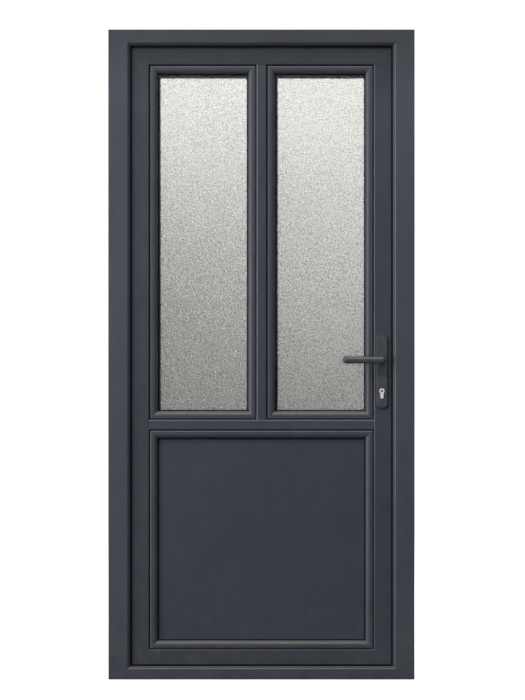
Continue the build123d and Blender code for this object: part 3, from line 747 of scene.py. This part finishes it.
def lever_grip(low, high, front, back):
    """A bar with round ends, drawn out from a disc and softened along its rims."""
    look = finish_values()
    radius = (high.z - low.z) / 2
    hub = Vector((high.x - radius, (front + back) / 2, low.z + radius))
    facets = 48
    clear_selection()
    bpy.ops.mesh.primitive_cylinder_add(
        vertices=facets,
        radius=radius,
        depth=look.grip_depth,
        location=hub,
        rotation=(math.radians(90), math.radians(180 / facets), 0),
    )
    grip = bpy.context.object
    bpy.ops.object.transform_apply(location=True, rotation=True, scale=True)
    edit(grip)
    bpy.ops.mesh.select_mode(type="EDGE")
    select_where(grip, lambda point: point.x < hub.x)
    bpy.ops.transform.translate(value=(low.x - hub.x + radius, 0, 0))
    for face, soft in ((front, FRONT_RIM * radius), (back, BACK_RIM * radius)):
        select_where(grip, lambda point: abs(point.y - face) < 0.0001)
        bpy.ops.mesh.bevel(offset=soft, segments=8, affect="EDGES")
    bpy.ops.object.mode_set(mode="OBJECT")
    return grip


def lever_neck(place, reach):
    """A waisted round neck, drawn out from a circle towards the door."""
    look = finish_values()
    clear_selection()
    bpy.ops.mesh.primitive_circle_add(
        vertices=40,
        radius=look.neck_radius,
        fill_type="NGON",
        location=place,
        rotation=(math.radians(90), 0, 0),
    )
    neck = bpy.context.object
    bpy.ops.object.transform_apply(location=True, rotation=True, scale=True)
    edit(neck)
    bpy.ops.mesh.select_all(action="SELECT")
    rings = 8
    for ring in range(rings):
        before = 1 - (1 - look.neck_waist) * math.sin(math.pi * ring / rings)
        after = 1 - (1 - look.neck_waist) * math.sin(math.pi * (ring + 1) / rings)
        bpy.ops.mesh.extrude_region_move(TRANSFORM_OT_translate={"value": (0, reach / rings, 0)})
        bpy.ops.transform.resize(value=(after / before, 1, after / before))
    bpy.ops.object.mode_set(mode="OBJECT")
    return neck


def soft_lever(name, node, outward):
    """A lever in one piece: its grip and the neck that carries it on the backplate."""
    look = finish_values()
    low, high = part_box(node)
    front, root = (low.y, high.y) if outward < 0 else (high.y, low.y)
    back = front - outward * look.grip_depth
    grip = lever_grip(low, high, front, back)
    radius = (high.z - low.z) / 2
    buried = back + outward * NECK_OVERLAP
    neck = lever_neck((high.x - radius, buried, low.z + radius), root - buried)
    clear_selection()
    neck.select_set(True)
    grip.select_set(True)
    bpy.context.view_layer.objects.active = grip
    bpy.ops.object.join()
    grip.name = name
    edit(grip)
    bpy.ops.mesh.select_all(action="SELECT")
    bpy.ops.mesh.normals_make_consistent(inside=False)
    bpy.ops.object.mode_set(mode="OBJECT")
    bpy.ops.object.shade_smooth_by_angle(angle=math.radians(35))
    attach(grip, "lever")
    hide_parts(node)
    return grip


def turned_head(radius, height, soft):
    """A round head standing on the origin along Z, with its upper rim bevelled."""
    clear_selection()
    bpy.ops.mesh.primitive_cylinder_add(vertices=28, radius=radius, depth=height, location=(0, 0, height / 2))
    head = bpy.context.object
    bpy.ops.object.transform_apply(location=True, rotation=True, scale=True)
    edit(head)
    bpy.ops.mesh.select_mode(type="EDGE")
    select_where(head, lambda point: point.z > height - 0.00001)
    bpy.ops.mesh.bevel(offset=soft, segments=3, affect="EDGES")
    bpy.ops.object.mode_set(mode="OBJECT")
    return head


def cross_recess(head, radius, height):
    """Cut a cross into the top of a screw's head."""
    for turn in (0.0, math.radians(90)):
        clear_selection()
        bpy.ops.mesh.primitive_cube_add(size=1.0, location=(0, 0, height), rotation=(0, 0, turn))
        cutter = bpy.context.object
        cutter.scale = (1.2 * radius, 0.26 * radius, 0.9 * height)
        bpy.ops.object.transform_apply(location=True, rotation=True, scale=True)
        apply_modifier(head, "BOOLEAN", object=cutter, operation="DIFFERENCE", solver="EXACT")
        clear_selection()
        cutter.select_set(True)
        bpy.ops.object.delete()


def screw(radius):
    """One countersunk screw head with a cross recess."""
    height = 0.5 * radius
    head = turned_head(radius, height, 0.22 * radius)
    cross_recess(head, radius, height)
    return head


def sown(name, pattern, places, outward, sunk, body, material):
    """One piece made of copies of a head, each pressed a little into the face that it stands on."""
    turn = Vector(outward).to_track_quat("Z", "Y").to_euler()
    copies = []
    for place in places:
        clear_selection()
        pattern.select_set(True)
        bpy.context.view_layer.objects.active = pattern
        bpy.ops.object.duplicate(linked=False)
        copy = bpy.context.object
        copy.rotation_euler = turn
        copy.location = Vector(place) - Vector(outward) * sunk
        bpy.ops.object.transform_apply(location=True, rotation=True, scale=True)
        copies.append(copy)
    clear_selection()
    for copy in copies:
        copy.select_set(True)
    bpy.context.view_layer.objects.active = copies[0]
    bpy.ops.object.join()
    piece = bpy.context.object
    piece.name = name
    bpy.ops.object.shade_smooth_by_angle(angle=math.radians(35))
    piece.data.materials.append(material)
    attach(piece, body)


def put_away(pattern):
    """Delete the pattern that the copies were made from."""
    clear_selection()
    pattern.select_set(True)
    bpy.ops.object.delete()


class DOOR_OT_stage(bpy.types.Operator):
    """Camera, lamps, floor and surroundings of a plain studio"""

    bl_idname = "door.stage"
    bl_label = "Set the stage"

    def execute(self, context):
        values = stage_values()
        scene = context.scene
        scene.view_settings.view_transform = "Standard"
        clear_selection()
        bpy.ops.object.camera_add(location=values.camera_place, rotation=(math.radians(90), 0, 0))
        camera = context.object
        camera.data.lens = values.lens
        scene.camera = camera
        self.add_lamps(values)
        self.add_floor()
        self.add_room_behind()
        self.add_surroundings(scene, values)
        return {"FINISHED"}

    def add_lamps(self, values):
        """Softboxes on the left and overhead, which also draw light along the edges, and one behind."""
        self.add_softbox(values.side_place, values.side_power, values.softbox_size)
        self.add_softbox(values.top_place, values.top_power, values.softbox_size)
        self.add_softbox(values.back_place, values.back_power, values.softbox_size)

    def add_softbox(self, place, power, size):
        """One square lamp turned towards the middle of the door, hidden from the camera and in the glass."""
        turn = (Vector(DOOR_MIDDLE) - Vector(place)).to_track_quat("-Z", "Y").to_euler()
        bpy.ops.object.light_add(type="AREA", location=place, rotation=turn)
        bpy.context.object.visible_camera = False
        bpy.context.object.visible_transmission = False
        lamp = bpy.context.object.data
        lamp.energy = power
        lamp.shape = "SQUARE"
        lamp.size = size

    def add_floor(self):
        """A pale floor that shows white to the camera and keeps the door's shadow."""
        bpy.ops.mesh.primitive_plane_add(size=FLOOR_SIZE, location=(0, 0, FLOOR_LEVEL))
        floor = bpy.context.object
        floor.name = "studio_floor"
        material, tree, shader = start_material("pale_floor")
        rays = add_node(tree, "ShaderNodeLightPath")
        seen = rays.outputs["Is Camera Ray"]
        seen = maths(tree, "MAXIMUM", seen, rays.outputs["Is Transmission Ray"])
        where = object_place(tree)
        mottle = noise(tree, where, 2.0, 3.0)
        pale = mixed(tree, mottle, PALE_FLOOR, PALER_FLOOR)
        tree.links.new(mixed(tree, seen, UNSEEN_FLOOR, pale), shader.inputs["Base Color"])
        shader.inputs["Roughness"].default_value = 0.9
        shader.inputs["Specular IOR Level"].default_value = 0.0
        shader.inputs["Emission Color"].default_value = (1, 1, 1, 1)
        tree.links.new(maths(tree, "MULTIPLY", seen, 0.8), shader.inputs["Emission Strength"])
        floor.data.materials.append(material)

    def add_room_behind(self):
        """What the obscure glass shows: a card past the open leaf, pale above and dim and busy below."""
        upright = (math.radians(90), 0, 0)
        bpy.ops.mesh.primitive_plane_add(size=CARD_SIZE, location=CARD_PLACE, rotation=upright)
        card = bpy.context.object
        card.name = "room_card"
        bpy.ops.object.transform_apply(location=True, rotation=True, scale=True)
        material = bpy.data.materials.new("room_behind")
        material.use_nodes = True
        tree = material.node_tree
        tree.nodes.clear()
        where = object_place(tree)
        x, z = x_and_z(tree, where)
        level = spread(tree, z, 0.8, 1.9, 0.0, 1.0)
        blotches = noise(tree, where, 7.0, 4.0, 0.6)
        swing = spread(tree, level, 0.0, 1.0, 1.0, 0.8)
        busy = maths(tree, "MULTIPLY", maths(tree, "SUBTRACT", blotches, 0.5), swing)
        speckle = maths(tree, "SUBTRACT", noise(tree, where, 40.0, 2.0), 0.5)
        halfway = near_line(tree, level, 0.45, 0.5)
        speckle = maths(tree, "MULTIPLY", speckle, maths(tree, "MULTIPLY", halfway, 1.8))
        busy = maths(tree, "ADD", busy, speckle)
        paler = maths(tree, "POWER", level, 1.15)
        light = maths(tree, "ADD", spread(tree, paler, 0.0, 1.0, 0.12, 1.21), busy)
        lean = maths(tree, "MULTIPLY", x, spread(tree, level, 0.0, 1.0, 1.3, 0.05))
        light = maths(tree, "MULTIPLY", light, maths(tree, "ADD", lean, 1.0))
        strength = maths(tree, "MAXIMUM", light, 0.02)
        hue = spread(tree, noise(tree, where, 3.0, 2.0), 0.35, 0.65, 0.0, 1.0)
        hue = mixed(tree, hue, WARM_ROOM, COOL_ROOM)
        glow = add_node(tree, "ShaderNodeEmission", {"Color": hue, "Strength": strength})
        output = add_node(tree, "ShaderNodeOutputMaterial")
        tree.links.new(glow.outputs[0], output.inputs["Surface"])
        card.data.materials.append(material)
        material.cycles.emission_sampling = "NONE"
        card.visible_camera = False
        card.visible_diffuse = False
        card.visible_glossy = False
        card.visible_shadow = False

    def add_surroundings(self, scene, values):
        """Dim studio walls, paler to the upper left, in front of a white background."""
        world = bpy.data.worlds.new("studio")
        scene.world = world
        world.use_nodes = True
        tree = world.node_tree
        tree.nodes.clear()
        way = add_node(tree, "ShaderNodeTexCoord").outputs["Generated"]
        axes = add_node(tree, "ShaderNodeSeparateXYZ", {0: way})
        upper_left = maths(tree, "SUBTRACT", axes.outputs[2], axes.outputs[0])
        slope = maths(tree, "MULTIPLY", upper_left, 0.2)
        walls = maths(tree, "MAXIMUM", maths(tree, "ADD", slope, values.ambient), 0.02)
        rays = add_node(tree, "ShaderNodeLightPath")
        behind = spread(tree, axes.outputs[1], 0.0, 0.3, 0.0, 1.0)
        glossy = maths(tree, "MULTIPLY", rays.outputs["Is Glossy Ray"], behind)
        seen = maths(tree, "MAXIMUM", rays.outputs["Is Camera Ray"], rays.outputs["Is Transmission Ray"])
        seen = maths(tree, "MAXIMUM", seen, glossy)
        strength = add_node(tree, "ShaderNodeMix", {0: seen, 2: walls, 3: 1.0}).outputs[0]
        back = add_node(tree, "ShaderNodeBackground", {"Color": (1, 1, 1, 1), "Strength": strength})
        output = add_node(tree, "ShaderNodeOutputWorld")
        tree.links.new(back.outputs[0], output.inputs["Surface"])


class DOOR_OT_foil(bpy.types.Operator):
    """Satin foil on the frame, leaf, beads and panel"""

    bl_idname = "door.foil"
    bl_label = "Foil the profiles"

    def execute(self, context):
        look = finish_values()
        leaf_low, leaf_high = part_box("leaf_hinge_stile")
        top_line = -leaf_low.x - leaf_high.z
        leaf_bottom = leaf_low.z - leaf_low.x
        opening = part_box("leaf_mid_rail")[1].x
        frame_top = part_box("frame_head")[1].z
        lines = {"top_line": top_line, "foot_line": FOOT_STRIP, "foot": PAINTED_FRAME_FOOT_SHADE}
        lines.update({"top": frame_top, "painted_top_shade": PAINTED_FRAME_TOP_SHADE})
        coat(foil("jamb_foil", look.foil_colour, "z", **lines), JAMBS)
        coat(foil("head_foil", look.foil_colour, "x", **lines), ["frame_head", "frame_sill"])
        lines = {"top_line": top_line, "bottom_line": leaf_bottom}
        lines.update({"top": leaf_high.z, "painted_top_shade": PAINTED_LEAF_TOP_SHADE})
        coat(foil("stile_foil", look.leaf_colour_with_painted_shade, "z", **lines), STILES)
        coat(foil("rail_foil", look.leaf_colour_with_painted_shade, "x", **lines), ["leaf_top_rail", "leaf_bottom_rail"])
        # A lighter copy of the leaf's foil on the mid rail: painted light
        mid_rail = tuple(value * PAINTED_MID_RAIL_LIGHT for value in look.leaf_colour_with_painted_shade[:3]) + (1.0,)
        coat(foil("mid_rail_foil", mid_rail, "x", butt_line=opening), ["leaf_mid_rail"])
        coat(foil("mullion_foil", look.leaf_colour_with_painted_shade, "z"), ["leaf_mullion"])
        for name, groove in PAINTED_GROOVE_WIDTHS.items():
            sides = name + "_side_beads"
            ends = name + "_end_beads"
            low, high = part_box(sides)
            coat(bead_foil(name + "_side_foil", look.leaf_colour_with_painted_shade, "z", low.x, groove), [sides])
            coat(bead_foil(name + "_end_foil", look.leaf_colour_with_painted_shade, "x", high.z, groove), [ends])
        coat(foil("panel_foil", look.leaf_colour_with_painted_shade), ["lower_panel"])
        return {"FINISHED"}


class DOOR_OT_rubber(bpy.types.Operator):
    """Black rubber on the seals and gaskets"""

    bl_idname = "door.rubber"
    bl_label = "Blacken the seals"

    def execute(self, context):
        coat(rubber("seal_rubber"), ["frame_seal", "leaf_seal"])
        coat(rubber("gasket_rubber"), ["outer_glazing_gaskets", "inner_glazing_gaskets"])
        return {"FINISHED"}


class DOOR_OT_panes(bpy.types.Operator):
    """Pebbled outer panes, clear inner panes and spacer bars"""

    bl_idname = "door.panes"
    bl_label = "Glaze the lights"

    def execute(self, context):
        obscure = pebbled_glass()
        for side in ("left", "right"):
            node = side + "_light_outer_pane"
            pane = pebbled_pane(side + "_light_pebbled_pane", node)
            pane.data.materials.append(obscure)
            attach(pane, "leaf")
            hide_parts(node)
        coat(float_glass(), ["left_light_inner_pane", "right_light_inner_pane"])
        coat(metal("spacer_bar", SPACER_METAL, 0.4, SPACER_STREAKS), ["glass_spacers"])
        return {"FINISHED"}


class DOOR_OT_furniture(bpy.types.Operator):
    """Powder-coated levers and backplates, and the nickel cylinder"""

    bl_idname = "door.furniture"
    bl_label = "Finish the furniture"

    def execute(self, context):
        coat(powder_coat("backplate_coat", dullest=0.54, shine=0.35), ["outer_backplate", "inner_backplate"])
        coated = powder_coat("lever_coat", dullest=0.4, shine=0.55)
        for side, outward in (("outer", -1), ("inner", 1)):
            lever = soft_lever(side + "_soft_lever", side + "_lever", outward)
            lever.data.materials.append(coated)
        nickel = metal("satin_nickel", finish_values().nickel_colour, 0.4, NICKEL_STREAKS, metallic=0.35)
        coat(nickel, ["lock_cylinder"])
        coat(plug_metal(), ["cylinder_plugs"])
        return {"FINISHED"}


class DOOR_OT_lock(bpy.types.Operator):
    """Zinc plating on the edge lock, keeps, spindle and hinge pins"""

    bl_idname = "door.lock"
    bl_label = "Plate the lock parts"

    def execute(self, context):
        zinc = metal("zinc_plate", finish_values().zinc_colour, 0.38, ZINC_STREAKS)
        coat(zinc, ["lock_faceplate", "latch_bolt", "dead_bolt", "hook_bolts", "lever_spindle", "hinge_pins"])
        coat(zinc, KEEPS)
        return {"FINISHED"}


class DOOR_OT_fasteners(bpy.types.Operator):
    """Screws of the hinges, keeps and edge lock, bolts of the handles and caps over the frame's fixings"""

    bl_idname = "door.fasteners"
    bl_label = "Set the fasteners"

    def execute(self, context):
        look = finish_values()
        plated = metal("screw_plate", look.zinc_colour, 0.35, SCREW_STREAKS)
        small = screw(look.screw_radius)
        sunk = 0.42 * look.screw_radius
        sown("keep_screws", small, self.keep_places(), (-1, 0, 0), sunk, "frame", plated)
        sown("faceplate_screws", small, self.edge_places(), (1, 0, 0), sunk, "leaf", plated)
        jamb, sash = self.hinge_places(look.screw_radius)
        sown("frame_leaf_screws", small, jamb, (0, 1, 0), sunk, "frame", plated)
        sown("sash_leaf_screws", small, sash, (0, 1, 0), sunk, "leaf", plated)
        put_away(small)
        large = screw(look.bolt_radius)
        sown("handle_bolts", large, self.handle_places(), (0, 1, 0), sunk, "leaf", plated)
        put_away(large)
        cap = turned_head(look.cap_radius, look.cap_height, 0.8 * look.cap_height)
        covers = foil("cap_plastic", look.foil_colour)
        for side, sign in (("hinge", -1), ("lock", 1)):
            places = self.cap_places(sign)
            sown(side + "_jamb_caps", cap, places, (-sign, 0, 0), 0.0, "frame", covers)
        put_away(cap)
        return {"FINISHED"}

    def keep_places(self):
        """Two screws near the ends of each keep."""
        places = []
        for name in KEEPS:
            low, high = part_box(name)
            middle = (low.y + high.y) / 2
            for height in (low.z + KEEP_SCREW_INSET, high.z - KEEP_SCREW_INSET):
                places.append((low.x, middle, height))
        return places

    def edge_places(self):
        """Screws along the faceplate: at its ends, and just above and below its bolts."""
        low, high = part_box("lock_faceplate")
        middle = (low.y + high.y) / 2
        heights = [low.z + FACEPLATE_SCREW_INSET, high.z - FACEPLATE_SCREW_INSET]
        for name, away in BOLT_SCREW_GAPS.items():
            bolt_low, bolt_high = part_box(name)
            heights += [bolt_low.z - away, bolt_high.z + away]
        return [(high.x, middle, height) for height in heights]

    def hinge_places(self, radius):
        """Three screws in each jamb leaf and four in each sash leaf."""
        jamb = []
        sash = []
        for name in HINGE_NAMES:
            low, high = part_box(name + "_frame_leaf")
            middle = (low.z + high.z) / 2
            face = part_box("frame_hinge_jamb")[1].y + HINGE_PLATE
            for rise in (-HINGE_SCREW_RISE, 0.0, HINGE_SCREW_RISE):
                jamb.append((low.x + 1.6 * radius, face, middle + rise))
            low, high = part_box(name + "_sash_leaf")
            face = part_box("leaf_hinge_stile")[1].y + HINGE_PLATE
            for rise in (-HINGE_SCREW_RISE, HINGE_SCREW_RISE):
                sash += [(high.x - inset, face, middle + rise) for inset in SASH_SCREW_INSETS]
        return jamb, sash

    def handle_places(self):
        """A bolt near each end of the inner backplate."""
        low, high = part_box("inner_backplate")
        middle = (low.x + high.x) / 2
        return [(middle, high.y, height) for height in (low.z + BOLT_FROM_FOOT, high.z - BOLT_FROM_TOP)]

    def cap_places(self, sign):
        """Caps on one jamb's rebate, where the record's fixings are."""
        places = []
        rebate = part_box("lower_keep")[1].x
        for mount in frame["record"]["mounts"]:
            if mount["kind"] == "bolt_pattern" and mount["pos_m"][0] * sign > 0:
                half = mount["dims"]["spacing_y_mm"] / 2000
                depth, height = mount["pos_m"][1:]
                places += [(sign * rebate, depth, height + side * half) for side in (-1, 1)]
        return places


class DOOR_OT_hinges(bpy.types.Operator):
    """Powder coat on the hinges"""

    bl_idname = "door.hinges"
    bl_label = "Finish the hinges"

    def execute(self, context):
        coated = powder_coat("hinge_coat", dullest=0.54, shine=0.35)
        for name in HINGE_NAMES:
            coat(coated, [name + "_frame_leaf", name + "_sash_leaf"])
        return {"FINISHED"}


OPERATORS = (
    DOOR_OT_foil,
    DOOR_OT_rubber,
    DOOR_OT_panes,
    DOOR_OT_furniture,
    DOOR_OT_lock,
    DOOR_OT_hinges,
    DOOR_OT_fasteners,
    DOOR_OT_stage,
)


class DOOR_PT_dressing(bpy.types.Panel):
    """Lists the steps that dress the door"""

    bl_idname = "DOOR_PT_dressing"
    bl_label = "Door dressing"
    bl_space_type = "VIEW_3D"
    bl_region_type = "UI"
    bl_category = "Door"

    def draw(self, context):
        for operator in OPERATORS:
            self.layout.operator(operator.bl_idname)


CLASSES = (DoorFinish, DoorStage, *OPERATORS, DOOR_PT_dressing)


def register():
    """Make the settings, steps and panel known."""
    for item in CLASSES:
        bpy.utils.register_class(item)
    bpy.types.Scene.door_finish = bpy.props.PointerProperty(type=DoorFinish)
    bpy.types.Scene.door_stage = bpy.props.PointerProperty(type=DoorStage)


def unregister():
    """Take the settings, steps and panel away again."""
    del bpy.types.Scene.door_stage
    del bpy.types.Scene.door_finish
    for item in reversed(CLASSES):
        bpy.utils.unregister_class(item)


def main():
    """Dress the door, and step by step."""
    register()
    bpy.ops.door.foil()
    bpy.ops.door.rubber()
    bpy.ops.door.panes()
    bpy.ops.door.furniture()
    bpy.ops.door.lock()
    bpy.ops.door.hinges()
    bpy.ops.door.fasteners()
    bpy.ops.door.stage()


if __name__ == "__main__":
    main()
